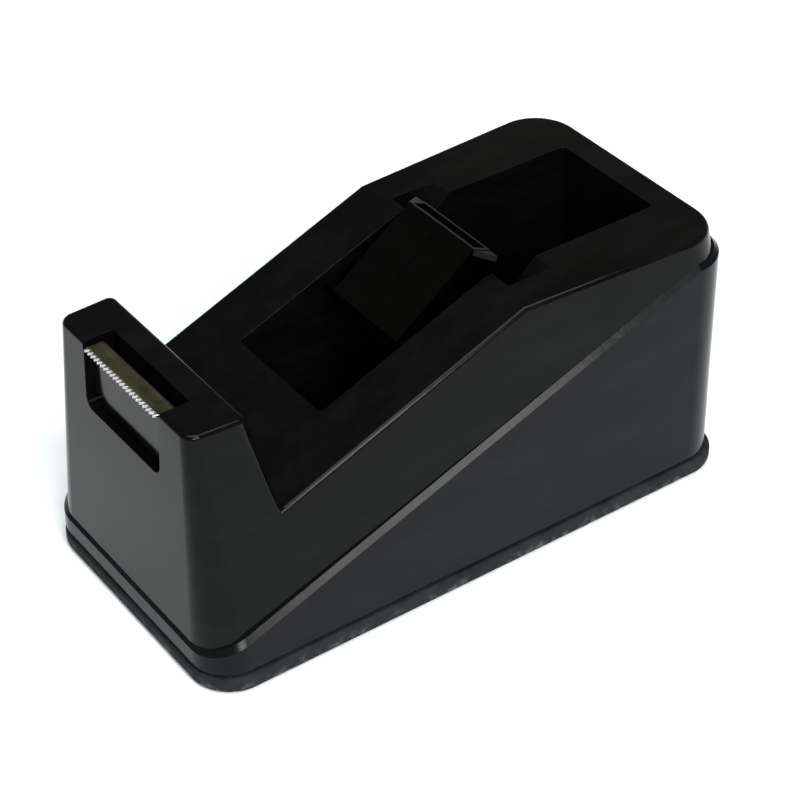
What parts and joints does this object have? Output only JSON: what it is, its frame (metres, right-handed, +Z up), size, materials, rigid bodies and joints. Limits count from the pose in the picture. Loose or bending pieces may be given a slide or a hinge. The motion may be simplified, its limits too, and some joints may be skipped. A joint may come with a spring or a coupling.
{
  "type": "desk tape dispenser",
  "caption": "Compact black desk tape dispenser: sloped body with an open tape well, a three-sided lift-out hub on an axle, a serrated cutter at the nose and a foam non-slip base.",
  "frame": {"origin": "centre of the dispenser's footprint, on the flat underside of the foam pad", "axes": "+X to the dispenser's right seen from behind, along the hub axle; -Y towards the cutter at the front, +Y to the rear; +Z up"},
  "size_m": [0.055, 0.11, 0.0538],
  "materials": {
    "cover": "high-gloss black moulding",
    "shell": "high-gloss black moulding",
    "pad": "fine closed-cell foam rubber",
    "hub": "satin black moulding",
    "axle": "smooth moulded",
    "blade": "zinc-plated and yellow passivated",
    "ballast": "rough as cast",
    "screw": "zinc plated"
  },
  "bodies": {
    "base": {"upper_cover": "cover", "lower_shell": "shell", "non_slip_pad": "pad", "cutter_blade": "blade", "ballast_front": "ballast", "ballast_left": "ballast", "ballast_right": "ballast", "base_screw_front_left": "screw", "base_screw_front_right": "screw", "base_screw_rear_left": "screw", "base_screw_rear_right": "screw"},
    "axle": {"hub_axle": "axle"},
    "hub": {"hub_half_left": "hub", "hub_half_right": "hub"}
  },
  "joints": [
    {"name": "axle_lift", "type": "slide", "parent": "base", "child": "axle", "axis": [0, 0.7396, 0.673], "range_m": [0, 0.035]},
    {"name": "hub_spin", "type": "hinge", "parent": "axle", "child": "hub", "pos_m": [0, 0.0064, 0.0415], "axis": [1, 0, 0], "continuous": true}
  ]
}
